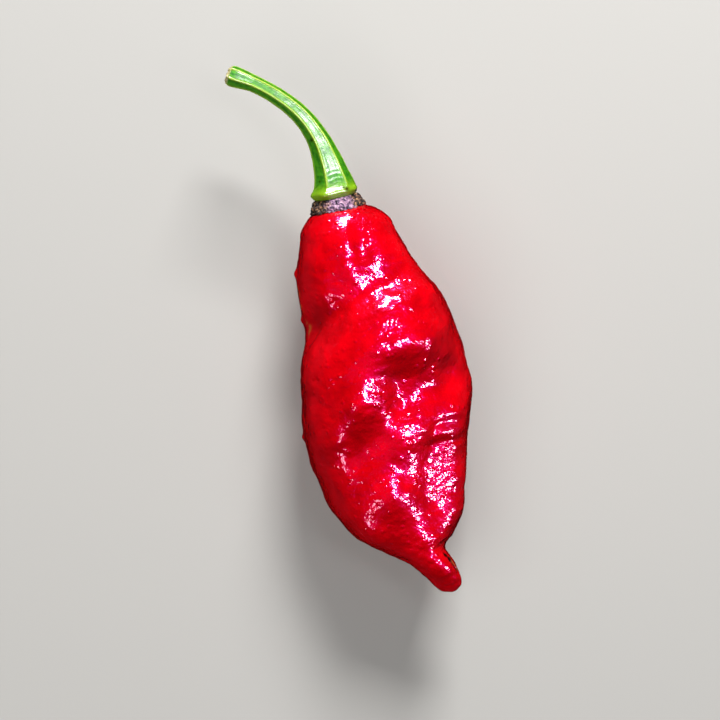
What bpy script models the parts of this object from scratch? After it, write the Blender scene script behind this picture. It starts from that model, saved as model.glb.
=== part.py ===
"""A ripe ghost pepper, as picked, lying on its back.

Three grown pieces, each a closed solid: the red fruit, the corky ring that holds it, and the green stem.
The fruit points along -Y with its tail, the stem along +Y, and +Z is up. The origin is at the bottom of
the whole pepper, in the middle of its outer box. Sizes below are in millimetres.
"""

import math

import bmesh
import bpy
import numpy as np
from mathutils import Vector, noise

MM = 0.001  # one millimetre in Blender's metres

# Driving dimensions
FRUIT_LENGTH = 65.5  # from the ring's edge to the tip of the tail
FLOOR = 0.0  # height of the surface that the belly rests on
GAP = 0.3  # space left between neighbouring pieces
RING_TOP_RADIUS = 3.6
RING_FOOT_RADIUS = 4.5
RING_HEIGHT = 1.5
STEM_RIDGES = 6
STEM_FLATNESS = 0.8  # 0 for a round section, 1 for flat sides between the ridges
FOOT_FLATNESS = 0.25  # the same where the stem flares over the ring
BOX_CENTRE = (-1.16, -19.2)  # middle of the whole pepper before it is moved over the origin

# The fruit's cross-sections, from the ring down to the tail: how far along, the left and right edge
# seen from above, the lowest and the highest point.
FRUIT_SECTIONS = (
    (-0.55, 0.1, 0.1, 14.6, 14.6),
    (-0.45, -2.6, 2.8, 12.0, 17.2),
    (-0.05, -4.4, 4.5, 10.2, 19.0),
    (1.0, -5.7, 6.3, 8.6, 20.2),
    (2.5, -6.9, 7.4, 7.3, 21.1),
    (5.0, -7.9, 7.9, 5.9, 21.9),
    (8.5, -9.4, 8.8, 4.4, 22.4),
    (13.0, -10.3, 10.2, 2.6, 23.0),
    (18.0, -11.0, 12.7, 1.0, 23.8),
    (23.0, -13.0, 13.6, -0.2, 24.4),
    (28.0, -14.2, 13.8, -0.8, 24.6),
    (33.0, -15.5, 13.7, -0.9, 24.5),
    (38.0, -16.0, 11.8, -0.6, 24.0),
    (43.0, -15.5, 9.7, 0.4, 23.2),
    (48.0, -14.5, 7.6, 1.9, 22.1),
    (53.0, -11.7, 5.8, 4.6, 20.8),
    (56.0, -8.0, 3.7, 7.2, 20.0),
    (58.0, -5.8, 1.8, 10.1, 19.2),
    (60.0, -4.0, 2.3, 11.3, 18.5),
    (62.5, -2.4, 2.8, 11.9, 17.5),
    (64.5, -1.1, 2.6, 12.7, 16.1),
    (FRUIT_LENGTH - 0.3, -0.1, 1.9, 13.4, 15.4),
    (FRUIT_LENGTH, 0.9, 0.9, 14.4, 14.4),
)
SHOULDER_LEAN = Vector((0.07, 0.99, 0.122)).normalized()  # the way the ring and the stem's foot point
SHOULDER_LENGTH = 12.0  # the lean fades out over this much of the fruit

# Folds and mounds of the skin: path as (degrees round from the top, mm along), half-width, height.
# The top side, as it shows from above
TOP_FOLDS = (
    # shoulder: two weak strands with a groove between them, and a bulge on the right
    (((0, 3), (-3, 11)), 2.0, 0.3),
    (((15, 2), (15, 8)), 1.5, -0.3),
    (((25, 2), (20, 8)), 4.0, -0.5),
    (((55, 4), (58, 12), (48, 20)), 5.0, 0.8),
    # the long groove across the shoulder, the dent at its left end, and the ridge below it
    (((-65, 17), (-45, 16.5), (-15, 15.5), (5, 14.5), (20, 14), (40, 13)), 2.5, -0.8),
    (((-60, 17), (-25, 15), (0, 13)), 4.5, -0.7),
    (((-12, 19.5), (17, 18), (47, 16.5)), 3.0, 0.7),
    (((10, 22), (27, 21), (50, 20)), 2.0, -0.4),
    (((10, 25), (32, 24)), 4.5, 1.0),
    # the deep hollow right of the middle, and the groove that leaves it to the left
    (((10, 29), (17, 33), (50, 32)), 4.5, -1.3),
    (((25, 31), (45, 32)), 5.0, -1.0),
    (((8, 30), (5, 34), (-6, 36), (-16, 39)), 4.0, -1.2),
    # mounds round that groove
    (((-55, 26), (-20, 27), (20, 25)), 5.0, 0.8),
    (((-18, 32),), 4.0, 1.0),
    (((57, 37), (57, 42)), 3.5, 0.8),
    (((38, 38.5), (60, 38.5)), 1.0, -0.3),
    (((38, 41.5), (60, 41.5)), 1.0, -0.3),
    # lower half: the mounds that carry the lower highlights, with hollows between them
    (((-5, 47.5),), 3.5, 0.8),
    (((70, 48), (68, 52)), 2.8, 1.0),
    (((36, 42), (33, 50)), 4.5, -1.4),
    (((15, 44), (45, 44)), 3.0, -0.6),
    (((-42, 52),), 4.0, 0.7),
    (((-55, 42), (-25, 42), (-7, 42)), 5.0, -0.6),
    (((0, 55), (25, 56)), 4.0, -0.3),
    (((15, 56), (25, 58), (25, 61)), 2.0, 0.3),
)
# The sides and the underside
LOWER_FOLDS = (
    (((100, 14.0), (130, 15.5), (165, 15.0)), 2.6, -0.9),
    (((-100, 22.0), (-122, 24.5), (-136, 22.5)), 2.8, -1.0),
    (((98, 31.0), (114, 34.0), (128, 38.0)), 2.6, -1.0),
    (((-104, 36.0), (-118, 39.0), (-130, 44.5)), 2.6, -0.9),
    (((150, 47.0), (180, 49.0), (215, 47.5)), 2.4, -0.8),
    (((170, 8.0), (200, 10.5), (240, 9.5)), 2.2, -0.8),
    (((120, 3.0), (118, 12.0)), 2.2, -0.7),
    (((-118, 3.0), (-112, 13.0)), 2.2, -0.7),
    (((100, 43.0), (120, 45.0)), 2.2, -0.7),
)
NOISE_SIZE = 5.5  # width of the small random swellings between the folds
NOISE_HEIGHT = 0.3
BELLY = ((180, 27.0), (180, 36.0))  # middle line of the spot it rests on, which stays smooth

# The stem's route: place seen from above, height, diameter
STEM_ROUTE = (
    (0.15, 3.0, 14.95, 7.8),
    (0.5, 4.1, 15.1, 6.9),
    (0.6, 5.9, 15.3, 5.8),
    (0.55, 8.2, 15.6, 4.9),
    (0.05, 12.2, 16.0, 3.7),
    (-1.5, 16.4, 16.4, 3.1),
    (-4.0, 20.0, 16.7, 2.8),
    (-7.5, 23.5, 16.9, 2.7),
    (-11.0, 26.0, 17.0, 3.0),
)
FIRST_RIDGE = math.radians(39)  # where the first ridge stands, measured round from the top

# Mesh steps: round the piece, then along it
FRUIT_STEPS = (56, 58)
RING_STEPS = (36, 14)
STEM_STEPS = (30, 30)

COLLECTION = "ghost_pepper"


def clear_scene():
    for thing in list(bpy.data.objects):
        bpy.data.objects.remove(thing)


def smooth_curve(points, count):
    """`count` points spread evenly along a smooth curve through `points`."""
    points = np.array(points, float)
    gaps = np.linalg.norm(np.diff(points, axis=0), axis=1)
    slopes = np.diff(points, axis=0) / gaps[:, None]
    tangents = np.empty_like(points)
    tangents[0] = slopes[0]
    tangents[-1] = slopes[-1]
    before, after = gaps[:-1, None], gaps[1:, None]
    tangents[1:-1] = (slopes[:-1] * after + slopes[1:] * before) / (before + after)
    fine = []
    for i, gap in enumerate(gaps):
        for t in np.linspace(0, 1, 24, endpoint=False):
            rise = t * t * (3 - 2 * t)
            fine.append(
                points[i] * (1 - rise)
                + points[i + 1] * rise
                + tangents[i] * gap * t * (1 - t) ** 2
                - tangents[i + 1] * gap * t * t * (1 - t)
            )
    fine.append(points[-1])
    fine = np.array(fine)
    length = np.concatenate(([0.0], np.cumsum(np.linalg.norm(np.diff(fine, axis=0), axis=1))))
    wanted = np.linspace(0, length[-1], count)
    return np.stack([np.interp(wanted, length, column) for column in fine.T], axis=1)


def sphere_grid(steps):
    """A sphere in a bmesh, and for each vertex its row from the top pole and its angle round."""
    round_steps, rows = steps
    bm = bmesh.new()
    bmesh.ops.create_uvsphere(bm, u_segments=round_steps, v_segments=rows, radius=1.0)
    places = []
    for vert in bm.verts:
        row = round(math.acos(max(-1.0, min(1.0, vert.co.z))) / math.pi * rows)
        places.append((vert, row, math.atan2(vert.co.x, vert.co.y)))
    return bm, places


def face_outwards(bm):
    """Turns every face of a closed bmesh outwards."""
    bmesh.ops.recalc_face_normals(bm, faces=bm.faces)
    if bm.calc_volume(signed=True) < 0:
        bmesh.ops.reverse_faces(bm, faces=bm.faces)
    bm.normal_update()


def fade(value, start, end):
    """0 up to `start`, 1 from `end` on, smooth between them."""
    t = min(1.0, max(0.0, (value - start) / (end - start)))
    return t * t * (3 - 2 * t)


def distance_to_path(angle, along, radius, path):
    """Millimetres over the skin from a place to a path of (degrees, along) points."""
    nearest = None
    middle = math.radians((path[0][0] + path[-1][0]) / 2)
    turn = math.atan2(math.sin(middle - angle), math.cos(middle - angle)) - middle
    spots = [
        Vector(((turn + math.radians(degrees)) * radius, place - along))
        for degrees, place in path
    ]
    for start, end in zip(spots, spots[1:] or spots):
        run = end - start
        share = 0.0
        if run.length_squared > 0:
            share = min(1.0, max(0.0, -start.dot(run) / run.length_squared))
        reach = (start + run * share).length
        nearest = reach if nearest is None else min(nearest, reach)
    return nearest


def skin_height(angle, along, radius, place):
    """How far the skin stands off the plain sections at a place."""
    height = 0.0
    for path, width, rise in TOP_FOLDS + LOWER_FOLDS:
        reach = distance_to_path(angle, along, radius, path)
        height += rise * math.exp(-((reach / width) ** 2))
    height += NOISE_HEIGHT * noise.noise(place / NOISE_SIZE)
    height *= fade(distance_to_path(angle, along, radius, BELLY), 5.0, 9.0)
    return height * fade(along, 0.5, 4.0) * fade(FRUIT_LENGTH - along, 1.0, 8.0)


def lean_shoulder(place, along, middle):
    """Tips the sections near the ring, so that they lie square to the ring's direction."""
    offset = place - middle
    sideways = SHOULDER_LEAN.x * offset.x + SHOULDER_LEAN.z * offset.z
    place.y -= sideways / SHOULDER_LEAN.y * (1 - fade(along, 0.0, SHOULDER_LENGTH))


def make_fruit():
    """The pod: a sphere whose rows take the sections' sizes, then folds pushed along its normals."""
    rows = smooth_curve(FRUIT_SECTIONS, FRUIT_STEPS[1] + 1)
    bm, places = sphere_grid(FRUIT_STEPS)
    for vert, row, angle in places:
        along, left, right, low, high = rows[row]
        middle = Vector(((left + right) / 2, -along, (low + high) / 2))
        vert.co = middle + Vector((
            (right - left) / 2 * math.sin(angle), 0, (high - low) / 2 * math.cos(angle)
        ))
        lean_shoulder(vert.co, along, middle)
    face_outwards(bm)
    moves = []
    for vert, row, angle in places:
        along, left, right, low, high = rows[row]
        radius = (right - left + high - low) / 4
        moves.append(vert.normal * skin_height(angle, along, radius, vert.co))
    for (vert, _, _), move in zip(places, moves):
        vert.co += move
    rest_flat(bm)
    return bm


def rest_flat(bm):
    """Cuts the belly off level with the surface, which leaves the small flat spot it rests on."""
    cut = bmesh.ops.bisect_plane(
        bm,
        geom=bm.verts[:] + bm.edges[:] + bm.faces[:],
        dist=0.0001,
        plane_co=(0, 0, FLOOR),
        plane_no=(0, 0, -1),
        clear_outer=True,
    )
    rim = [item for item in cut["geom_cut"] if isinstance(item, bmesh.types.BMEdge)]
    bmesh.ops.contextual_create(bm, geom=rim)
    face_outwards(bm)


def ring_frame():
    """Foot, axis, and the two directions across it, of the ring and of the stem's foot."""
    first = FRUIT_SECTIONS[0]
    foot = Vector((first[1], -first[0], first[3]))
    axis = SHOULDER_LEAN
    side = axis.cross(Vector((0, 0, 1))).normalized()
    return foot, axis, side, side.cross(axis)


def make_ring():
    """The corky ring: a low cone frustum, hollowed underneath to the fruit's dome."""
    foot, axis, side, up = ring_frame()
    dome = RING_FOOT_RADIUS * 0.1
    outline = (
        (0.0, GAP),
        (RING_FOOT_RADIUS * 0.6, GAP - dome * 0.36),
        (RING_FOOT_RADIUS - 0.1, GAP - dome * 0.9),
        (RING_FOOT_RADIUS, GAP - dome * 0.5),
        (RING_FOOT_RADIUS - 0.35, GAP + RING_HEIGHT * 0.4),
        (RING_TOP_RADIUS + 0.05, RING_HEIGHT - 0.1),
        (RING_TOP_RADIUS - 0.15, RING_HEIGHT),
        (0.0, RING_HEIGHT),
    )
    rows = smooth_curve(outline, RING_STEPS[1] + 1)
    bm, places = sphere_grid(RING_STEPS)
    for vert, row, angle in places:
        radius, height = rows[row]
        radius *= 1 + 0.025 * math.sin(5 * angle + 1.0) * fade(radius, 2.5, 3.5)
        vert.co = foot + axis * height + (side * math.sin(angle) + up * math.cos(angle)) * radius
    face_outwards(bm)
    return bm


def ridged(angle, flatness):
    """Radius factor of the stem's section: a six-cornered outline with softened sides."""
    corner = 2 * math.pi / STEM_RIDGES
    off_corner = (angle - FIRST_RIDGE + corner / 2) % corner - corner / 2
    flat_side = math.cos(corner / 2) / math.cos(abs(off_corner) - corner / 2)
    return 1 - flatness * (1 - flat_side)


def make_stem():
    """The stalk: a ridged tube along its route, flared at its foot and closed at its picked end."""
    foot, axis, _, _ = ring_frame()
    base = foot + axis * (RING_HEIGHT + GAP)
    flare = STEM_ROUTE[0][3]
    tip = STEM_ROUTE[-1]
    before_tip = STEM_ROUTE[-2]
    onward = (Vector(tip[:3]) - Vector(before_tip[:3])).normalized()
    scar = Vector(tip[:3]) + onward * 0.35
    route = (
        (*base, 0.0),
        (*base, flare * 0.55),
        (*(base + axis * 0.12), flare * 0.93),
        *STEM_ROUTE,
        (*(scar - onward * 0.1), tip[3] * 0.8),
        (*scar, 0.0),
    )
    rows = smooth_curve(route, STEM_STEPS[1] + 1)
    centres = [Vector(row[:3]) for row in rows]
    headings = [axis]
    for behind, ahead in zip(centres, centres[2:]):
        step = (ahead - behind) if (ahead - behind).dot(headings[-1]) > 0.3 else headings[-1]
        headings.append(axis.lerp(step.normalized(), fade((ahead - base).length, 1.0, 5.0)).normalized())
    headings.append(headings[-1])
    bm, places = sphere_grid(STEM_STEPS)
    for vert, row, angle in places:
        heading = headings[row]
        side = heading.cross(Vector((0, 0, 1))).normalized()
        up = side.cross(heading)
        away = fade((centres[row] - base).length, 0.6, 2.5)
        flatness = FOOT_FLATNESS + (STEM_FLATNESS - FOOT_FLATNESS) * away
        radius = rows[row][3] / 2 * ridged(angle, flatness)
        vert.co = centres[row] + (side * math.sin(angle) + up * math.cos(angle)) * radius
    face_outwards(bm)
    return bm


def material(name, colour, roughness):
    made = bpy.data.materials.new(name)
    made.use_nodes = True
    surface = made.node_tree.nodes["Principled BSDF"]
    surface.inputs["Base Color"].default_value = (*colour, 1.0)
    surface.inputs["Roughness"].default_value = roughness
    surface.inputs["Metallic"].default_value = 0.0
    return made


def add_piece(name, bm, finish, collection):
    """Moves the bmesh over the origin, turns it to metres and makes it a smooth-shaded object."""
    bmesh.ops.translate(bm, verts=bm.verts, vec=(-BOX_CENTRE[0], -BOX_CENTRE[1], 0))
    bmesh.ops.scale(bm, verts=bm.verts, vec=(MM, MM, MM))
    mesh = bpy.data.meshes.new(name)
    bm.to_mesh(mesh)
    bm.free()
    mesh.shade_smooth()
    mesh.set_sharp_from_angle(angle=math.radians(50))
    mesh.materials.append(finish)
    collection.objects.link(bpy.data.objects.new(name, mesh))


def main():
    clear_scene()
    collection = bpy.data.collections.new(COLLECTION)
    bpy.context.scene.collection.children.link(collection)
    add_piece("fruit", make_fruit(), material("red_skin", (0.55, 0.004, 0.004), 0.22), collection)
    add_piece("calyx_ring", make_ring(), material("cork", (0.16, 0.12, 0.12), 0.85), collection)
    add_piece("stem", make_stem(), material("green_stem", (0.10, 0.32, 0.01), 0.35), collection)


main()
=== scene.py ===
# %% [markdown]
# # A ripe ghost pepper on a pale table
# This script finishes a pepper whose plain solids are already packed as a fixed frame. Each step makes one
# grown piece, or one finish, around that frame. The frame is loaded first.

# %% Load the fixed frame
import math

import bmesh
import bpy
import numpy as np
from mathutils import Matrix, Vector, noise


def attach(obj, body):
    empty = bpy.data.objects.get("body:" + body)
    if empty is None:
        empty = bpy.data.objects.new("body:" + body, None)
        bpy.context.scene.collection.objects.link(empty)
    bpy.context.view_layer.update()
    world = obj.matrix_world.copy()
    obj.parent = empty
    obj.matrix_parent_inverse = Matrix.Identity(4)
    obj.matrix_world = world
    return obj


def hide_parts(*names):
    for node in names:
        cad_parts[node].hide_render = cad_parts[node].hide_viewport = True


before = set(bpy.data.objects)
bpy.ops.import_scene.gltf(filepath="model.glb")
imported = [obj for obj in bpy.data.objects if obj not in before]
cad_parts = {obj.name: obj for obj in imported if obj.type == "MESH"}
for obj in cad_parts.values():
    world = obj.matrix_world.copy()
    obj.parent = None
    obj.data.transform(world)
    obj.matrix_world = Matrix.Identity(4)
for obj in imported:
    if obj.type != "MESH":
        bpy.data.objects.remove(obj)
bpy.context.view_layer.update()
print("nodes in the frame:", sorted(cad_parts))

# %% [markdown]
# ## Units and origins
# The pieces are modelled in millimetres, in the fruit's own coordinates: the ring is near the origin, the
# tail lies along -Y and +Z is up. The camera and the lamps use the frame's coordinates, which have their
# origin under the middle of the whole pepper. The last step of each piece moves it over that origin and
# turns its millimetres into Blender's metres.

# %% Units
MM = 0.001
BOX_CENTRE = (-1.16, -19.2)  # the frame's origin, in the fruit's own coordinates
FLOOR = 0.0  # height of the table
print("the frame's origin is at", BOX_CENTRE, "mm in the fruit's own coordinates")

# %% [markdown]
# ## The camera
# The photograph looks at the pepper's side while it hangs. Laid on its back, the same side looks up, so the
# camera looks straight down, turned so that the tail points down and a little to the right. A long lens
# keeps the swelling of the near side small.

# %% Camera
LENS = 135.0
SENSOR = 36.0
PIXEL = 0.165  # millimetres of pepper in one pixel of the picture
PICTURE_PIXELS = 720
ROLL = math.radians(16)  # lean of the pepper's length in the picture
VIEW_CENTRE = (-2.13, -5.43)  # place under the middle of the picture, in millimetres from the frame's origin
OUTLINE_HEIGHT = 12.5  # height of the outline that the camera sees
NEAREST = 0.01  # metres from the camera at which it starts to see

distance = PIXEL * PICTURE_PIXELS * LENS / SENSOR
camera_data = bpy.data.cameras.new("camera")
camera_data.lens = LENS
camera_data.sensor_width = SENSOR
camera = bpy.data.objects.new("camera", camera_data)
camera.location = Vector((*VIEW_CENTRE, OUTLINE_HEIGHT + distance)) * MM
camera.rotation_euler = (0, 0, -ROLL)
camera_data.clip_start = NEAREST
bpy.context.scene.collection.objects.link(camera)
bpy.context.scene.camera = camera
print("camera", round(distance), "mm above the outline")

# %% [markdown]
# ## The light
# A lamp does two things to a glossy fruit: it lights the flesh, and it shows as a reflection. One lamp for
# both would have to be in two places at once, so each lamp here does one of them. A soft lamp towards the
# stem and a broad weak one at the lower left light the flesh. Five others show only in the gloss, and each
# can be moved to place a highlight without changing the shade.

# %% Lamps
PICTURE_RIGHT = Vector((math.cos(ROLL), -math.sin(ROLL), 0))
PICTURE_UP = Vector((math.sin(ROLL), math.cos(ROLL), 0))
TARGET = Vector((0, -8, 14)) * MM  # near the middle of the pod
LAMPS = (
    # metres right, up and above the target, width, depth, watts, lights the flesh, shows in the gloss
    ("stem_key", 0.1, 0.48, 0.34, 0.2, 0.2, 5.8, True, False),
    ("fill", -0.3, -0.2, 0.7, 0.6, 0.6, 3.4, True, False),
    ("stem_glint", -0.07, 0.5, 0.2, 0.2, 0.1, 4.4, False, True),
    ("front_glint", 0.155, 0.068, 0.533, 0.13, 0.11, 2.2, False, True),
    ("low_glint", -0.34, -0.28, 0.34, 0.1, 0.06, 0.25, False, True),
    ("side_glint", 0.28, -0.05, 0.48, 0.05, 0.12, 1.3, False, True),
    ("tail_glint", 0.45, -0.14, 0.29, 0.05, 0.14, 1.0, False, True),
)


def soft_lamp(name, right, up, height, width, depth, power, lights_flesh, shows):
    """A lamp that faces the target, placed from it by the picture's own right and up."""
    data = bpy.data.lights.new(name, "AREA")
    data.shape = "RECTANGLE"
    data.size = width
    data.size_y = depth
    data.energy = power
    lamp = bpy.data.objects.new(name, data)
    way = PICTURE_RIGHT * right + PICTURE_UP * up + Vector((0, 0, height))
    lamp.location = TARGET + way
    lamp.rotation_mode = "QUATERNION"
    lamp.rotation_quaternion = (-way).to_track_quat("-Z", "Y")
    lamp.visible_diffuse = lights_flesh
    lamp.visible_glossy = shows
    bpy.context.scene.collection.objects.link(lamp)


for lamp in LAMPS:
    soft_lamp(*lamp)
print(len(LAMPS), "lamps")

# %% [markdown]
# ## The world
# The world stays dim, because a bright one would turn the deep red pink, and it is left out of the gloss for
# the same reason. Seen directly, behind the table in low views, it is brighter: a Light Path node tells the
# two uses apart.

# %% World
WORLD_LIGHT = 0.05  # its strength on the pepper
BACKDROP = 0.55  # its strength behind the table

world = bpy.data.worlds.new("studio")
world.use_nodes = True
world_tree = world.node_tree
background = world_tree.nodes["Background"]
background.inputs["Color"].default_value = (1.0, 1.0, 1.0, 1.0)
seen = world_tree.nodes.new("ShaderNodeLightPath")
strength = world_tree.nodes.new("ShaderNodeMapRange")
strength.inputs["To Min"].default_value = WORLD_LIGHT
strength.inputs["To Max"].default_value = BACKDROP
world_tree.links.new(seen.outputs["Is Camera Ray"], strength.inputs["Value"])
world_tree.links.new(strength.outputs["Result"], background.inputs["Strength"])
world.cycles_visibility.glossy = False
bpy.context.scene.world = world
bpy.context.scene.view_settings.view_transform = "Standard"
print("world", WORLD_LIGHT, "on the pepper and", BACKDROP, "behind it")

# %% [markdown]
# ## The fruit's shape
# A pod is neither turned nor cast: it grew. Its plain form is a row of cross-sections from the ring to the
# tail, each with its own left, right, low and high edge. The first sections lean, because the stem leaves
# the pod at a slant.

# %% Sections of the fruit
FRUIT_LENGTH = 65.5  # from the ring to the end of the tail
FRUIT_SECTIONS = (  # along, left, right, low, high
    (-0.55, 0.1, 0.1, 14.6, 14.6),
    (-0.45, -2.6, 2.8, 12.0, 17.2),
    (-0.05, -4.4, 4.5, 10.2, 19.0),
    (1.0, -5.7, 6.3, 8.6, 20.2),
    (2.5, -6.9, 7.4, 7.3, 21.1),
    (5.0, -7.9, 7.9, 5.9, 21.9),
    (8.5, -9.4, 8.8, 4.4, 22.4),
    (13.0, -10.3, 10.2, 2.6, 23.0),
    (18.0, -11.0, 12.7, 1.0, 23.8),
    (23.0, -13.0, 13.6, -0.2, 24.4),
    (28.0, -14.2, 13.8, -0.8, 24.6),
    (33.0, -15.5, 13.7, -0.9, 24.5),
    (38.0, -16.0, 11.8, -0.6, 24.0),
    (43.0, -15.5, 9.7, 0.4, 23.2),
    (48.0, -14.5, 7.6, 1.9, 22.1),
    (53.0, -11.7, 5.8, 4.6, 20.8),
    (56.0, -8.0, 3.7, 7.2, 20.0),
    (58.0, -5.8, 1.8, 10.1, 19.2),
    (60.0, -4.0, 2.3, 11.3, 18.5),
    (62.5, -2.4, 2.8, 11.9, 17.5),
    (64.5, -1.1, 2.6, 12.7, 16.1),
    (FRUIT_LENGTH - 0.3, -0.1, 1.9, 13.4, 15.4),
    (FRUIT_LENGTH, 0.9, 0.9, 14.4, 14.4),
)
SHOULDER_LEAN = Vector((0.07, 0.99, 0.122)).normalized()  # the way from the pod to the stem
SHOULDER_LENGTH = 12.0  # the sections lose their lean over this length
print(len(FRUIT_SECTIONS), "sections over", FRUIT_LENGTH, "mm")

# %% [markdown]
# ## A smooth curve
# Straight steps between the sections would show as facets. This curve passes through every given point, with
# a slope there that lies between the slopes of the gaps on both sides, so it has no kinks. It spreads its
# points evenly, because even rows of vertices carry the skin's detail evenly.

# %% Smooth curve
STEPS_IN_A_GAP = 24  # points worked out from one given point to the next
ROWS = 340  # 0.15 to 0.3 mm apart along the fruit


def smooth_curve(points, count):
    """`count` points spread evenly along a smooth curve through `points`."""
    points = np.array(points, float)
    gaps = np.linalg.norm(np.diff(points, axis=0), axis=1)
    slopes = np.diff(points, axis=0) / gaps[:, None]
    tangents = np.empty_like(points)
    tangents[0] = slopes[0]
    tangents[-1] = slopes[-1]
    before, after = gaps[:-1, None], gaps[1:, None]
    tangents[1:-1] = (slopes[:-1] * after + slopes[1:] * before) / (before + after)
    fine = []
    for i, gap in enumerate(gaps):
        for t in np.linspace(0, 1, STEPS_IN_A_GAP, endpoint=False):
            rise = t * t * (3 - 2 * t)
            fine.append(
                points[i] * (1 - rise)
                + points[i + 1] * rise
                + tangents[i] * gap * t * (1 - t) ** 2
                - tangents[i + 1] * gap * t * t * (1 - t)
            )
    fine.append(points[-1])
    fine = np.array(fine)
    length = np.concatenate(([0.0], np.cumsum(np.linalg.norm(np.diff(fine, axis=0), axis=1))))
    wanted = np.linspace(0, length[-1], count)
    return np.stack([np.interp(wanted, length, column) for column in fine.T], axis=1)


sections = smooth_curve(FRUIT_SECTIONS, ROWS + 1)
print(len(sections), "rows, the widest", round(float(np.ptp(sections[:, 1:3], axis=1).max()), 1), "mm")

# %% [markdown]
# ## From a sphere to the plain fruit
# A sphere has the right start for a pod, one closed skin with two ends, so its rows of vertices are moved
# onto the sections. Joining separate loops would leave both ends to close. The ring and the stem start from
# such a sphere too, so its rows and angles come from a helper.

# %% Plain fruit
ROUND_STEPS = 288  # 0.3 mm apart round the belly


def sphere_grid(round_steps, rows):
    """A sphere in a bmesh, with each vertex's row from the top pole and its angle round."""
    bm = bmesh.new()
    bmesh.ops.create_uvsphere(bm, u_segments=round_steps, v_segments=rows, radius=1.0)
    spots = np.array([vert.co for vert in bm.verts])
    row = np.rint(np.arccos(np.clip(spots[:, 2], -1, 1)) / math.pi * rows).astype(int)
    return bm, row, np.arctan2(spots[:, 0], spots[:, 1])


def fade(value, start, end):
    """0 up to `start`, 1 from `end` on, smooth between them."""
    t = np.clip((np.asarray(value, float) - start) / (end - start), 0, 1)
    return t * t * (3 - 2 * t)


def move_to(bm, places):
    """Puts the bmesh's vertices at `places`, faces it outwards and returns its normals."""
    for vert, spot in zip(bm.verts, places):
        vert.co = spot
    bmesh.ops.recalc_face_normals(bm, faces=bm.faces)
    if bm.calc_volume(signed=True) < 0:
        bmesh.ops.reverse_faces(bm, faces=bm.faces)
    bm.normal_update()
    return np.array([vert.normal for vert in bm.verts])


fruit_bm, fruit_row, around = sphere_grid(ROUND_STEPS, ROWS)
along, left, right, low, high = sections[fruit_row].T
across = (right - left) / 2 * np.sin(around)
upward = (high - low) / 2 * np.cos(around)
tilt = (SHOULDER_LEAN.x * across + SHOULDER_LEAN.z * upward) / SHOULDER_LEAN.y
plain = np.stack((
    (left + right) / 2 + across,
    -along - tilt * (1 - fade(along, 0, SHOULDER_LENGTH)),
    (low + high) / 2 + upward,
), axis=1)
reach = (right - left + high - low) / 4  # mean radius of each section
plain_normals = move_to(fruit_bm, plain)
print("plain fruit:", len(plain), "vertices, widest", round(float(np.ptp(plain[:, 0])), 1), "mm")

# %% [markdown]
# ## Folds and mounds
# The pod's skin grew faster than its core, so it buckled into folds that mostly run round it. Each fold
# is a short path over the skin with a width and a height, negative for a groove. A path is written as
# degrees round from the top, and millimetres along from the ring.
#
# The folds of the shown side follow the photograph's highlights. Some of them still lie close to where a
# fitting program put them, and all were rounded and moved. The folds of the underside and the sides
# can't be seen there, so they are free choices.

# %% Folds
TOP_FOLDS = (
    # shoulder: two weak strands with a groove between them, and a bulge on the right
    (((0, 3), (-3, 11)), 2.0, 0.3),
    (((15, 2), (15, 8)), 1.5, -0.3),
    (((25, 2), (20, 8)), 4.0, -0.5),
    (((55, 4), (58, 12), (48, 20)), 5.0, 0.8),
    # the long groove across the shoulder, the dent at its left end, and the ridge below it
    (((-65, 17), (-45, 16.5), (-15, 15.5), (5, 14.5), (20, 14), (40, 13)), 2.5, -0.8),
    (((-60, 17), (-25, 15), (0, 13)), 4.5, -0.7),
    (((-12, 19.5), (17, 18), (47, 16.5)), 3.0, 0.7),
    (((10, 22), (27, 21), (50, 20)), 2.0, -0.4),
    (((10, 25), (32, 24)), 4.5, 1.0),
    # the deep hollow right of the middle, and the groove that leaves it to the left
    (((10, 29), (17, 33), (50, 32)), 4.5, -1.3),
    (((25, 31), (45, 32)), 5.0, -1.0),
    (((8, 30), (5, 34), (-6, 36), (-16, 39)), 4.0, -1.2),
    # mounds round that groove
    (((-55, 26), (-20, 27), (20, 25)), 5.0, 0.8),
    (((-18, 32),), 4.0, 1.0),
    (((57, 37), (57, 42)), 3.5, 0.8),
    (((38, 38.5), (60, 38.5)), 1.0, -0.3),
    (((38, 41.5), (60, 41.5)), 1.0, -0.3),
    # lower half: the mounds that carry the lower highlights, with hollows between them
    (((-5, 47.5),), 3.5, 0.8),
    (((70, 48), (68, 52)), 2.8, 1.0),
    (((36, 42), (33, 50)), 4.5, -1.4),
    (((15, 44), (45, 44)), 3.0, -0.6),
    (((-42, 52),), 4.0, 0.7),
    (((-55, 42), (-25, 42), (-7, 42)), 5.0, -0.6),
    (((0, 55), (25, 56)), 4.0, -0.3),
    (((15, 56), (25, 58), (25, 61)), 2.0, 0.3),
)
LOWER_FOLDS = (
    (((100, 14.0), (130, 15.5), (165, 15.0)), 2.6, -0.9),
    (((-100, 22.0), (-122, 24.5), (-136, 22.5)), 2.8, -1.0),
    (((98, 31.0), (114, 34.0), (128, 38.0)), 2.6, -1.0),
    (((-104, 36.0), (-118, 39.0), (-130, 44.5)), 2.6, -0.9),
    (((150, 47.0), (180, 49.0), (215, 47.5)), 2.4, -0.8),
    (((170, 8.0), (200, 10.5), (240, 9.5)), 2.2, -0.8),
    (((120, 3.0), (118, 12.0)), 2.2, -0.7),
    (((-118, 3.0), (-112, 13.0)), 2.2, -0.7),
    (((100, 43.0), (120, 45.0)), 2.2, -0.7),
)
print(len(TOP_FOLDS), "folds on the shown side and", len(LOWER_FOLDS), "elsewhere")

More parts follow.
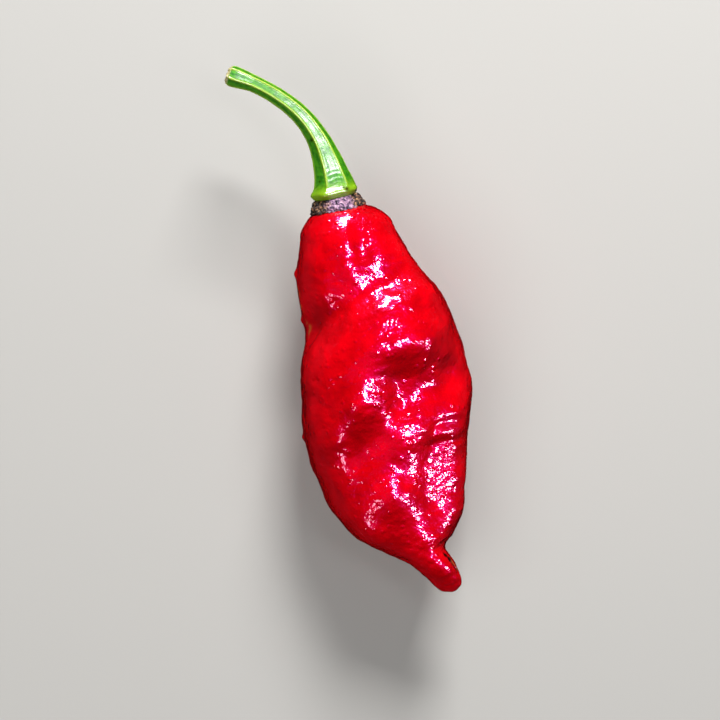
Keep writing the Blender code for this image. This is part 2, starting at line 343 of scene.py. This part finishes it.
# %% [markdown]
# ## From paths to folded skin
# A vertex moves along its normal by the sum of what each fold gives at its distance, so that crossing folds
# blend as soft skin does. Two things hold them back: the spot that the pepper rests on stays smooth, and
# the folds fade out at both ends. A soft unevenness is added, because no part of a real pod is regular.

# %% Folded skin
UNEVEN_SIZE = 5.5
UNEVEN_HEIGHT = 0.3
BELLY = ((180, 27.0), (180, 36.0))  # middle line of the spot it rests on
BELLY_EDGE = (5, 9)  # distances from that line between which the folds come in
RING_EDGE = (0.5, 4)  # the same from the ring
TAIL_EDGE = (1, 8)  # and from the end of the tail


def distance_to_path(path):
    """Millimetres over the skin from every vertex to a path of (degrees, along) points."""
    middle = math.radians((path[0][0] + path[-1][0]) / 2)
    turn = np.arctan2(np.sin(middle - around), np.cos(middle - around)) - middle
    spots = []
    for degrees, spot in path:
        spots.append(np.stack(((turn + math.radians(degrees)) * reach, spot - along)))
    nearest = np.full(len(around), np.inf)
    for start, end in zip(spots, spots[1:] or spots):
        run = end - start
        length = np.maximum((run * run).sum(0), 1e-9)
        share = np.clip(-(start * run).sum(0) / length, 0, 1)
        nearest = np.minimum(nearest, np.linalg.norm(start + run * share, axis=0))
    return nearest


def lumps(places, size, seed=0.0):
    """Smooth random values from about -1 to 1, with lumps `size` millimetres apart."""
    shift = Vector((seed, seed, seed))
    return np.array([noise.noise(Vector(spot) / size + shift) for spot in places])


fold_height = np.zeros(len(along))
for path, width, rise in TOP_FOLDS + LOWER_FOLDS:
    fold_height += rise * np.exp(-((distance_to_path(path) / width) ** 2))
fold_height += UNEVEN_HEIGHT * lumps(plain, UNEVEN_SIZE)
fold_height *= fade(distance_to_path(BELLY), *BELLY_EDGE)
fold_height *= fade(along, *RING_EDGE) * fade(FRUIT_LENGTH - along, *TAIL_EDGE)
folded = plain + plain_normals * fold_height[:, None]
folded_normals = move_to(fruit_bm, folded)
print("folds from", round(float(fold_height.min()), 2), "to", round(float(fold_height.max()), 2), "mm")

# %% [markdown]
# ## The fine skin
# Between the folds the skin is crinkled like orange peel, which breaks each reflection into flecks. Three
# patterns make it: soft lumps, smaller wrinkles that are longer round the pod than along it, and low domes
# of about the finest size that these vertices can carry. The crinkles are calmer on the lower half and
# strongest on the tail. Anything finer is left to the finish.

# %% Crinkled skin
LUMP_SIZE = 3.0
LUMP_HEIGHT = 0.14
WRINKLE_SIZE = 1.5
WRINKLE_HEIGHT = 0.07
WRINKLE_SQUEEZE = (0.8, 1.25, 0.8)  # over 1 packs them closer in that direction
DOME_SIZE = 1.1
DOME_HEIGHT = 0.11
DOME_SQUEEZE = (0.85, 1.15, 0.85)
DOME_MEAN = 0.6  # taken off, so that the domes don't swell the pod
SKIN_START = (0.2, 2.0)  # distances from the ring between which the crinkles come in
LOWER_HALF = (38, 48)  # between these they become calmer
TAIL = (54, 58)  # and between these stronger


def pebbles(places, size, seed=0.0):
    """Low domes about `size` millimetres apart with creases between them, from 0 to 1."""
    shift = Vector((seed, seed, seed))
    near = [noise.voronoi(Vector(spot) / size + shift)[0][0] for spot in places]
    return 1 - np.minimum(np.array(near), 1.0) ** 2


crinkle = LUMP_HEIGHT * lumps(folded, LUMP_SIZE, seed=11)
crinkle += WRINKLE_HEIGHT * lumps(folded * WRINKLE_SQUEEZE, WRINKLE_SIZE, seed=23)
crinkle += DOME_HEIGHT * (pebbles(folded * DOME_SQUEEZE, DOME_SIZE, seed=5) - DOME_MEAN)
crinkle *= fade(along, *SKIN_START) * (1 - 0.25 * fade(along, *LOWER_HALF) + 0.5 * fade(along, *TAIL))
skin = folded + folded_normals * crinkle[:, None]
skin[:, 2] = np.maximum(skin[:, 2], FLOOR)
move_to(fruit_bm, skin)
print("crinkles up to", round(float(np.abs(crinkle).max()), 2), "mm")

# %% [markdown]
# ## Scars and specks
# A grown fruit carries marks. Corky scars run down its left edge, which was rubbed as it grew, with three
# small warts and a black speck between them. Two more specks sit beside a crease near the tail, with a pale
# scar next to it. They use the same paths as the folds, and each mark is kept on the mesh as well, so that
# the finish can colour it. The crease is painted dark too, which is painted shade, and it is kept with the
# specks.

# %% Scars and specks
SCARS = (
    ((-80, 10.4), (-76, 11.6), (-79, 13.0), (-77, 14.2)),
    ((-79, 16.1), (-75, 17.0), (-77, 18.3)),
    ((-80, 25.2), (-77, 26.3), (-79, 27.3)),
    ((61, 59.7), (65, 60.7), (67, 61.8)),
)
WARTS = (((-87, 8.4),), ((-88, 15.7),), ((-88, 34.3),))
SPECKS = (((54, 59.1),), ((58, 59.9),), ((-74, 26.4),))
CREASE = ((57, 59.4), (61, 62.0))
SCAR_WIDTH = 0.28
SCAR_HEIGHT = 0.12
BREAK_SIZE = 0.55  # lumps of this size break a scar up
WART_WIDTH = 0.6
WART_HEIGHT = 0.35
SPECK_WIDTH = 0.42
SPECK_DEPTH = 0.1
CREASE_WIDTH = 0.25
CREASE_DEPTH = 0.15


def marks(paths, width):
    """1 on each path, fading to 0 over about `width` millimetres."""
    return np.max([np.exp(-((distance_to_path(path) / width) ** 2)) for path in paths], axis=0)


def keep_values(bm, **values):
    """Stores an array of values on the vertices under each name, for the finish to read."""
    for name, array in values.items():
        layer = bm.verts.layers.float.new(name)
        for vert, value in zip(bm.verts, array):
            vert[layer] = value


scars = marks(SCARS, SCAR_WIDTH) * np.clip(0.45 + 1.6 * lumps(skin, BREAK_SIZE, seed=3), 0, 1)
specks = marks(SPECKS, SPECK_WIDTH)
crease = marks((CREASE,), CREASE_WIDTH)
stand = SCAR_HEIGHT * scars + WART_HEIGHT * marks(WARTS, WART_WIDTH)
stand = stand - SPECK_DEPTH * specks - CREASE_DEPTH * crease
skin = skin + folded_normals * stand[:, None]
move_to(fruit_bm, skin)
specks_and_crease_shade = np.clip(1.8 * np.maximum(specks, 0.5 * crease), 0, 1)  # the specks are black, and the crease is painted dark too, but less so: painted shade
keep_values(fruit_bm, scars=scars, specks=specks_and_crease_shade)
print("marks stand", round(float(stand.max()), 2), "mm proud")

# %% [markdown]
# ## Colours, nodes and finished pieces
# Colours are written as the hex values that a colour picker shows. Shaders work in linear light, so one
# function converts them. A second small function adds a node with its settings and its links. The last one
# turns a finished bmesh into a piece: it moves it over the frame's origin, scales it to metres and hands it
# to the frame.

# %% Helpers for finishes and pieces
def colour(hex_value):
    """Linear RGBA of an sRGB hex value."""
    parts = [int(hex_value[i:i + 2], 16) / 255 for i in (1, 3, 5)]
    return (*[p / 12.92 if p <= 0.04045 else ((p + 0.055) / 1.055) ** 2.4 for p in parts], 1.0)


def add(tree, kind, links=None, **settings):
    """Adds a node; `links` gives each input a value or another node's output."""
    made = tree.nodes.new(kind)
    for name, value in settings.items():
        setattr(made, name, value)
    for name, source in (links or {}).items():
        if isinstance(source, bpy.types.NodeSocket):
            tree.links.new(source, made.inputs[name])
        else:
            made.inputs[name].default_value = source
    return made


def new_finish(name):
    """A material with its Principled shader, and the object's coordinates."""
    made = bpy.data.materials.new(name)
    made.use_nodes = True
    tree = made.node_tree
    shader = tree.nodes["Principled BSDF"]
    place = add(tree, "ShaderNodeTexCoord").outputs["Object"]
    return made, tree, shader, place


def mixed(tree, share, first, second):
    """Colour mixed from `first` towards `second` by `share`; each can be a value or an output."""
    mix = add(tree, "ShaderNodeMix", {0: share, 6: first, 7: second}, data_type="RGBA")
    return mix.outputs[2]


def shaded(tree, value, shades):
    """Colour that changes along a ramp of (position, hex value) as `value` rises."""
    ramp = add(tree, "ShaderNodeValToRGB", {"Fac": value})
    for position, hex_value in shades[2:]:
        ramp.color_ramp.elements.new(position)
    for stop, (position, hex_value) in zip(ramp.color_ramp.elements, shades):
        stop.position = position
        stop.color = colour(hex_value)
    return ramp.outputs["Color"]


def kept(tree, name):
    """The values kept on the mesh under `name`."""
    return add(tree, "ShaderNodeAttribute", attribute_name=name).outputs["Fac"]


def finish_piece(name, bm, finish):
    """Turns a bmesh in millimetres into a smooth piece that rides on the frame."""
    bmesh.ops.translate(bm, verts=bm.verts, vec=(-BOX_CENTRE[0], -BOX_CENTRE[1], 0))
    bmesh.ops.scale(bm, verts=bm.verts, vec=(MM, MM, MM))
    mesh = bpy.data.meshes.new(name)
    bm.to_mesh(mesh)
    bm.free()
    mesh.shade_smooth()
    mesh.materials.append(finish)
    piece = bpy.data.objects.new(name, mesh)
    bpy.context.scene.collection.objects.link(piece)
    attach(piece, "root")
    print(name, "has", len(mesh.polygons), "faces")
    return piece


print("#808080 is", round(colour("#808080")[0], 3), "in linear light")

# %% [markdown]
# ## Ripe skin
# Ripe pepper skin is a thin clear cuticle over deep red flesh: the red comes from below, and the cuticle
# reflects sharply on its own. A Principled shader with a coat gives both layers. The red varies a little in
# patches, and the kept marks turn it tan on the scars and almost black on the specks. The same kept value
# darkens the crease near the tail, which is painted shade.
#
# Two bump patterns are finer than the mesh. Low domes 1.5 mm apart break a highlight into flecks, and a
# grain frays the edges of the flecks. Real skin cells are about a tenth of that grain, too fine to show. The
# softer reflection under the coat is tinted magenta, which is what the rims of the highlights show.

# %% Finish of the skin
PATCH = 4 * MM
GRAIN = 0.5 * MM
GRAIN_DEPTH = 0.03 * MM
DOME = 1.5 * MM
DOME_DEPTH = 0.1 * MM
DOME_REACH = 0.3  # radius of a dome, as a share of DOME
SKIN_REDS = ((0.35, "#C00006"), (0.7, "#E8000C"))

skin_finish, tree, shader, place = new_finish("ripe_skin")
patches = add(tree, "ShaderNodeTexNoise", {"Vector": place, "Scale": 1 / PATCH, "Detail": 3.0})
reds = shaded(tree, patches.outputs["Fac"], SKIN_REDS)
reds = mixed(tree, kept(tree, "scars"), reds, colour("#B4622C"))
# the kept specks value also carries the crease's painted shade, so the crease turns dark here too
reds = mixed(tree, kept(tree, "specks"), reds, colour("#1A0804"))
tree.links.new(reds, shader.inputs["Base Color"])
grain = add(tree, "ShaderNodeTexVoronoi", {"Vector": place, "Scale": 1 / GRAIN})
relief = add(tree, "ShaderNodeBump", {
    "Height": grain.outputs["Distance"], "Distance": GRAIN_DEPTH,
}, invert=True)
cells = add(tree, "ShaderNodeTexVoronoi", {"Vector": place, "Scale": 1 / DOME})
domes = add(tree, "ShaderNodeMapRange", {
    "Value": cells.outputs["Distance"], "From Max": DOME_REACH,
}, clamp=True)
relief = add(tree, "ShaderNodeBump", {
    "Height": domes.outputs["Result"], "Distance": DOME_DEPTH, "Normal": relief.outputs["Normal"],
}, invert=True)
tree.links.new(relief.outputs["Normal"], shader.inputs["Normal"])
tree.links.new(relief.outputs["Normal"], shader.inputs["Coat Normal"])
shader.inputs["Roughness"].default_value = 0.23
shader.inputs["Specular IOR Level"].default_value = 1.0
shader.inputs["Specular Tint"].default_value = colour("#FF10B8")
shader.inputs["Coat Weight"].default_value = 1.0
shader.inputs["Coat IOR"].default_value = 1.5
shader.inputs["Coat Roughness"].default_value = 0.08

fruit = finish_piece("fruit_skin", fruit_bm, skin_finish)
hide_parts("fruit")

# %% [markdown]
# ## The corky ring
# Where the calyx met the fruit, a band of cork is left. Its plain form is a low turned cone, so its rows
# follow one outline of radius and height along the ring's own axis. Cork cracks into plates as it dries: the
# gap between the nearest and the second nearest point of a random scatter gives plates with cracks between
# them, which makes real crumbs at the edge of the outline.

# %% Plain ring
RING_STEPS = 288
RING_ROWS = 104
RING_HEIGHT = 1.5
RING_OUTLINE = (  # radius, height over the foot
    (0.0, 0.0),
    (2.7, -0.16),
    (4.3, -0.55),
    (4.55, -0.35),
    (4.35, 0.3),
    (4.05, 0.8),
    (3.75, 1.3),
    (3.5, 1.48),
    (0.0, RING_HEIGHT),
)

ring_foot = np.array((0.1, 0.55, 14.6))
ring_axis = np.array(SHOULDER_LEAN)
ring_side = np.array(SHOULDER_LEAN.cross(Vector((0, 0, 1))).normalized())
ring_up = np.cross(ring_side, ring_axis)
outline = smooth_curve(RING_OUTLINE, RING_ROWS + 1)
ring_bm, ring_row, ring_turn = sphere_grid(RING_STEPS, RING_ROWS)
radius, rise = outline[ring_row].T
spoke = np.sin(ring_turn)[:, None] * ring_side + np.cos(ring_turn)[:, None] * ring_up
turned = ring_foot + rise[:, None] * ring_axis + spoke * radius[:, None]
turned_normals = move_to(ring_bm, turned)
print("plain ring", round(2 * float(radius.max()), 1), "mm across")

# %% [markdown]
# ## Crumbs and fibres
# Large plates carry small ones, lumps make the edge uneven, and fine fibres run up the cone, as the calyx
# did. All of it fades out towards the middle, which the stem covers. The top of the ring, where the light
# falls, is painted more lilac than the rest, which is painted light, and a value that says so is kept on the
# mesh for the finish.

# %% Crumbs and fibres
PLATE_SIZE = 0.9
PLATE_HEIGHT = 0.34
PLATE_MEAN = 0.7  # taken off, so that the plates don't swell the ring
CHIP_SIZE = 0.42
CHIP_HEIGHT = 0.18
CHIP_MEAN = 0.6
CRACK = 0.3  # width of a crack, as a share of a plate
SWELL_SIZE = 1.5
SWELL_HEIGHT = 0.28
FIBRE_SIZE = 0.35
FIBRE_HEIGHT = 0.12
FIBRE_TURN = 4.2  # mean radius, which turns an angle into millimetres
FIBRE_SQUEEZE = 0.35  # under 1 makes the fibres longer up the cone
CRUMB_EDGE = (3.0, 3.7)  # radii between which the crumbs come in
# where the painted light on the ring's top is centred and how far round it reaches: it paints the top lilac
LILAC_MIDDLE = math.radians(8)
LILAC_REACH = math.radians(38)


def cracked(places, size, seed=0.0):
    """Flat plates about `size` millimetres wide with cracks between them, from 0 to 1."""
    shift = Vector((seed, seed, seed))
    found = [noise.voronoi(Vector(spot) / size + shift)[0] for spot in places]
    return np.array([min(1.0, (near[1] - near[0]) / CRACK) for near in found])


fibres = np.stack((ring_turn * FIBRE_TURN, rise * FIBRE_SQUEEZE, radius * FIBRE_SQUEEZE), axis=1)
crumble = PLATE_HEIGHT * (cracked(turned, PLATE_SIZE, seed=3) - PLATE_MEAN)
crumble += CHIP_HEIGHT * (cracked(turned, CHIP_SIZE, seed=8) - CHIP_MEAN)
crumble += SWELL_HEIGHT * lumps(turned, SWELL_SIZE, seed=17)
crumble += FIBRE_HEIGHT * lumps(fibres, FIBRE_SIZE, seed=29)
crumble *= fade(radius, *CRUMB_EDGE)
cork = turned + turned_normals * crumble[:, None]
move_to(ring_bm, cork)
# painted light: the top of the ring, where the light falls, is painted more lilac
keep_values(ring_bm, lilac=np.exp(-(((ring_turn - LILAC_MIDDLE) / LILAC_REACH) ** 2)))
print("crumbs stand up to", round(float(crumble.max()), 2), "mm proud")

# %% [markdown]
# ## Finish of the cork
# Dry cork is matt and made of small pale and dark crumbs, so its colour changes several times in a
# millimetre: lilac grey where light catches the plates, brown between them and almost black in the cracks.
# One noise picks the shade on two ramps, brown and lilac, and a coarser one mixes the two ramps, together
# with the kept value that paints the top of the ring lilac as painted light.

# %% Finish of the cork
CORK_BROWNS = ((0.4, "#0A0809"), (0.48, "#34201A"), (0.55, "#6C4634"), (0.66, "#B88E60"))
CORK_LILACS = ((0.37, "#1A1422"), (0.45, "#54405C"), (0.52, "#9A7496"), (0.64, "#CCA8BC"))
CRUMB = 0.55 * MM
WEATHER = 1.2 * MM  # size of the patches that weathering turned lilac
GRIT = 0.25 * MM
GRIT_DEPTH = 0.08 * MM

cork_finish, tree, shader, place = new_finish("dry_cork")
crumbs = add(tree, "ShaderNodeTexNoise", {"Vector": place, "Scale": 1 / CRUMB, "Detail": 5.0})
weathered = add(tree, "ShaderNodeTexNoise", {"Vector": place, "Scale": 1 / WEATHER, "Detail": 3.0})
# random lilac patches, plus the painted light that makes the ring's top more lilac
weathering_and_painted_top_light = add(tree, "ShaderNodeMath", {
    0: weathered.outputs["Fac"], 1: kept(tree, "lilac"),
}, operation="ADD")
lilac_share = add(tree, "ShaderNodeMapRange", {
    "Value": weathering_and_painted_top_light.outputs["Value"], "From Min": 0.85, "From Max": 1.2,
})
browns = shaded(tree, crumbs.outputs["Fac"], CORK_BROWNS)
lilacs = shaded(tree, crumbs.outputs["Fac"], CORK_LILACS)
cork_colour = mixed(tree, lilac_share.outputs["Result"], browns, lilacs)
tree.links.new(cork_colour, shader.inputs["Base Color"])
grit = add(tree, "ShaderNodeTexNoise", {"Vector": place, "Scale": 1 / GRIT, "Detail": 2.0})
relief = add(tree, "ShaderNodeBump", {"Height": grit.outputs["Fac"], "Distance": GRIT_DEPTH})
tree.links.new(relief.outputs["Normal"], shader.inputs["Normal"])
shader.inputs["Roughness"].default_value = 0.75

ring = finish_piece("cork_ring", ring_bm, cork_finish)
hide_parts("calyx_ring")

# %% [markdown]
# ## The stem
# A stalk grows as a tube with ribs, six on this one, so it is swept: each row of a sphere grid becomes one
# section, square to the route of the stalk. A turned shape couldn't bend. The foot flares over the cork,
# and its sections lie square to the ring's axis until the route takes over.

# %% Route of the stem
STEM_ROWS = 240
GAP = 0.3  # open joint under the flare
FOOT_FLAT = 4.3  # diameter of the flat middle of its underside
FOOT_WIDE = 7.25  # diameter of the flare's lower edge
FOOT_RISE = 0.12  # how far that edge lies above the flat middle
SCAR_RISE = 0.35  # how far the picked end bulges past the route's last point
SCAR_EDGE = 0.1  # how far its edge lies back from its middle
SCAR_SHARE = 0.8  # diameter of its edge, as a share of the tip's
STEM_ROUTE = (  # x, y, z, diameter
    (0.15, 3.0, 14.95, 7.8),
    (0.5, 4.1, 15.1, 6.9),
    (0.6, 5.9, 15.3, 5.8),
    (0.55, 8.2, 15.6, 4.9),
    (0.05, 12.2, 16.0, 3.7),
    (-1.5, 16.4, 16.4, 3.1),
    (-4.0, 20.0, 16.7, 2.8),
    (-7.5, 23.5, 16.9, 2.7),
    (-11.0, 26.0, 17.0, 3.0),
)

stem_base = ring_foot + ring_axis * (RING_HEIGHT + GAP)
tip, before_tip = np.array(STEM_ROUTE[-1]), np.array(STEM_ROUTE[-2])
onward = (tip - before_tip)[:3] / np.linalg.norm((tip - before_tip)[:3])
scar_end = tip[:3] + onward * SCAR_RISE
route = smooth_curve((
    (*stem_base, 0.0),
    (*stem_base, FOOT_FLAT),
    (*(stem_base + ring_axis * FOOT_RISE), FOOT_WIDE),
    *STEM_ROUTE,
    (*(scar_end - onward * SCAR_EDGE), tip[3] * SCAR_SHARE),
    (*scar_end, 0.0),
), STEM_ROWS + 1)
centres = route[:, :3]
print("stem", round(float(np.linalg.norm(np.diff(centres, axis=0), axis=1).sum()), 1), "mm long")

# %% [markdown]
# ## Which way each section faces
# A heading follows the route, but the foot's first sections share one centre, where the route has no
# direction. They keep the ring's axis, and the headings turn from it to the route's own over the next few
# millimetres.

# %% Headings of the stem
HEADING_EDGE = (1.0, 5.0)  # distances from the foot between which the route takes over

headings = np.tile(ring_axis, (STEM_ROWS + 1, 1))
for i in range(1, STEM_ROWS):
    step = centres[i + 1] - centres[i - 1]
    length = np.linalg.norm(step)
    straight = step / length if length > 0.01 and step @ headings[i - 1] > 0 else headings[i - 1]
    share = fade(np.linalg.norm(centres[i] - stem_base), *HEADING_EDGE)
    headings[i] = ring_axis * (1 - share) + straight * share
headings[-1] = headings[-2]
headings /= np.linalg.norm(headings, axis=1)[:, None]
sides = np.cross(headings, (0, 0, 1))
sides /= np.linalg.norm(sides, axis=1)[:, None]
ups = np.cross(sides, headings)
bend = math.degrees(math.acos(headings[0] @ headings[-1]))
print("the stem bends by", round(bend), "degrees")

# %% [markdown]
# ## Sweep of the stem
# `off_rib` is how far round each vertex lies from its nearest rib. Between two ribs the side is nearly flat,
# as on a round-cornered hexagon, and it is rounder on the foot, where the flare stretches the skin.

# %% Swept stem
STEM_RIDGES = 6
FIRST_RIDGE = math.radians(39)
FLATNESS = 0.8  # 0 for a round section, 1 for flat sides between the ribs
FOOT_FLATNESS = 0.25  # the same where the stalk flares over the cork
STEM_STEPS = 180

stem_bm, stem_row, stem_turn = sphere_grid(STEM_STEPS, STEM_ROWS)
corner = 2 * math.pi / STEM_RIDGES
off_rib = (stem_turn - FIRST_RIDGE + corner / 2) % corner - corner / 2
flat_side = math.cos(corner / 2) / np.cos(np.abs(off_rib) - corner / 2)
half = route[stem_row, 3] / 2  # half the diameter
spoke = np.sin(stem_turn)[:, None] * sides[stem_row] + np.cos(stem_turn)[:, None] * ups[stem_row]
from_foot = np.linalg.norm(centres[stem_row] - stem_base, axis=1)
flatness = FOOT_FLATNESS + (FLATNESS - FOOT_FLATNESS) * fade(from_foot, 0.6, 2.5)
swept = centres[stem_row] + spoke * (half * (1 - flatness * (1 - flat_side)))[:, None]
swept_normals = move_to(stem_bm, swept)
print("swept stem", round(2 * float(half.max()), 1), "mm wide at the foot")

# %% [markdown]
# ## Ribs, ripples and the picked end
# The ribs are thin lines where the corners of the section meet the skin. The flare bends the skin into a few
# ripples across them, and its lip is thicker and uneven. Fine streaks run along the sides, and the fibres at
# the picked end are torn. All of it follows from `off_rib` and the distances to both ends.

# %% Ribs, ripples and the picked end
RIB_WIDTH = 0.22
RIB_HEIGHT = 0.09
RIPPLE_SIZE = 0.8
RIPPLE_HEIGHT = 0.016
STREAK_SIZE = 0.3
STREAK_LENGTH = 5.0
STREAK_HEIGHT = 0.012
SWELLING_SIZE = 1.6
SWELLING_HEIGHT = 0.03
PORE_SIZE = 0.5
PORE_HEIGHT = 0.008
LIP_PLACE = 0.75  # distance from the foot
LIP_WIDTH = 0.45
LIP_HEIGHT = 0.12
LIP_LUMP_SIZE = 2.2
LIP_LUMP_HEIGHT = 0.3
TORN_SIZE = 0.35
TORN_HEIGHT = 0.14

to_end = np.linalg.norm(centres[stem_row] - scar_end, axis=1)
rib = np.exp(-((off_rib * half / RIB_WIDTH) ** 2)) * fade(from_foot, 0.6, 3.0) * fade(half, 0.8, 1.2)
ripple_reach = from_foot + 0.5 * (np.abs(off_rib) - corner / 2) ** 2 * half
ripple_reach += 0.35 * lumps(swept, 1.3, seed=31)
ripples = np.sin(2 * math.pi * ripple_reach / RIPPLE_SIZE)
ripples = ripples * fade(from_foot, 1.2, 2.0) * (1 - fade(from_foot, 3, 6))
streak_place = np.stack((stem_turn * half / STREAK_SIZE, from_foot / STREAK_LENGTH, half), axis=1)
streaks = lumps(streak_place, 1.0, seed=3)
scar = 1 - fade(to_end, 0.25, 0.6)
lip = np.exp(-(((from_foot - LIP_PLACE) / LIP_WIDTH) ** 2)) * fade(half, 2.5, 3.4)
growth = RIB_HEIGHT * rib + (RIPPLE_HEIGHT * ripples + STREAK_HEIGHT * streaks) * (1 - rib)
uneven = SWELLING_HEIGHT * lumps(swept, SWELLING_SIZE, seed=41)
uneven += PORE_HEIGHT * lumps(swept, PORE_SIZE, seed=7)
growth += uneven
growth += lip * (LIP_HEIGHT + LIP_LUMP_HEIGHT * lumps(swept, LIP_LUMP_SIZE, seed=5))
growth += TORN_HEIGHT * scar * lumps(swept, TORN_SIZE, seed=13)
growth *= fade(half, 0.2, 1.0)
stalk = swept + swept_normals * growth[:, None]
move_to(stem_bm, stalk)
print("ribs and lip stand up to", round(float(growth.max()), 2), "mm proud")

# %% [markdown]
# ## Values for the stem's colours
# The finish needs to know where the ribs, the foot, the picked end and a few dark spots are. It also needs
# a place for its streaks that bends with the stalk, so how far round and how far along each vertex lies is
# kept too. The way round is counted from the top down both sides, which leaves no seam underneath.

# %% Values for the stem's colours
STEM_SPOTS = (  # (x, y), size
    ((2.35, 2.8), 0.36),
    ((1.9, 3.1), 0.2),
    ((-1.0, 12.0), 0.28),
    ((-1.6, 5.2), 0.18),
)
LINE_WIDTH = 0.25  # size of the colour streaks, round the stalk
LINE_LENGTH = 4.0  # and along it

spots = np.max([
    np.exp(-(((stalk[:, :2] - spot) ** 2).sum(1) / size ** 2)) for spot, size in STEM_SPOTS
], axis=0) * (stalk[:, 2] > centres[stem_row][:, 2])
keep_values(stem_bm, rib=rib, foot=1 - fade(from_foot, 0.4, 3.0), scar=scar, spots=spots)
keep_values(stem_bm, turn=np.abs(stem_turn) * half / LINE_WIDTH, length=from_foot / LINE_LENGTH)
print(len(STEM_SPOTS), "dark spots on the upper side")

# %% [markdown]
# ## Finish of the stem
# Living green skin under a thin wax: mottled and streaked green, paler and more yellow along the ribs and
# over the flare, and straw coloured where it was picked. Wax gives a broad soft shine, so there is a rough
# coat. Its IOR is above that of wax, because the stem's bright strip is stronger than wax alone would make
# it. The dark spots are dry and have no wax.

# %% Finish of the stem
MOTTLE = 0.6 * MM
PIT = 0.3 * MM
PIT_DEPTH = 0.012 * MM

stem_finish, tree, shader, place = new_finish("waxy_stem")
mottle = add(tree, "ShaderNodeTexNoise", {"Vector": place, "Scale": 1 / MOTTLE, "Detail": 4.0})
lines = add(tree, "ShaderNodeCombineXYZ", {"X": kept(tree, "turn"), "Y": kept(tree, "length")})
streaked = add(tree, "ShaderNodeTexNoise", {"Vector": lines.outputs["Vector"], "Scale": 1.0, "Detail": 3.0})
both = add(tree, "ShaderNodeMath", {
    0: mottle.outputs["Fac"], 1: streaked.outputs["Fac"],
}, operation="ADD")
spread = add(tree, "ShaderNodeMapRange", {
    "Value": both.outputs["Value"], "From Min": 0.85, "From Max": 1.15,
})
greens = mixed(tree, spread.outputs["Result"], colour("#187600"), colour("#4EAA00"))
greens = mixed(tree, kept(tree, "foot"), greens, colour("#8CB800"))
greens = mixed(tree, kept(tree, "rib"), greens, colour("#A8C832"))
greens = mixed(tree, kept(tree, "spots"), greens, colour("#241404"))
greens = mixed(tree, kept(tree, "scar"), greens, colour("#C8BE86"))
tree.links.new(greens, shader.inputs["Base Color"])
pits = add(tree, "ShaderNodeTexNoise", {"Vector": place, "Scale": 1 / PIT, "Detail": 2.0})
relief = add(tree, "ShaderNodeBump", {"Height": pits.outputs["Fac"], "Distance": PIT_DEPTH})
tree.links.new(relief.outputs["Normal"], shader.inputs["Normal"])
tree.links.new(relief.outputs["Normal"], shader.inputs["Coat Normal"])
waxed = add(tree, "ShaderNodeMath", {0: 1.0, 1: kept(tree, "spots")}, operation="SUBTRACT")
tree.links.new(waxed.outputs["Value"], shader.inputs["Coat Weight"])
shader.inputs["Roughness"].default_value = 0.5
shader.inputs["Specular IOR Level"].default_value = 0.1
shader.inputs["Coat IOR"].default_value = 2.05
shader.inputs["Coat Roughness"].default_value = 0.3

stem = finish_piece("green_stalk", stem_bm, stem_finish)
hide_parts("stem")

# %% [markdown]
# ## The table
# A plain pale sheet under the pepper, wide enough that no view reaches its edge. It is kept out of the
# gloss, where it would show as a grey veil on the skin.

# %% Table
TABLE_REACH = 1.5  # metres from its middle to each edge

table_bm = bmesh.new()
bmesh.ops.create_grid(table_bm, x_segments=1, y_segments=1, size=TABLE_REACH)
table_mesh = bpy.data.meshes.new("table")
table_bm.to_mesh(table_mesh)
table_bm.free()
table_finish, tree, shader, place = new_finish("pale_paper")
shader.inputs["Base Color"].default_value = colour("#B6B4B0")
shader.inputs["Roughness"].default_value = 0.7
table_mesh.materials.append(table_finish)
table = bpy.data.objects.new("table", table_mesh)
bpy.context.scene.collection.objects.link(table)
table.visible_glossy = False
print("table", 2 * TABLE_REACH, "m wide")
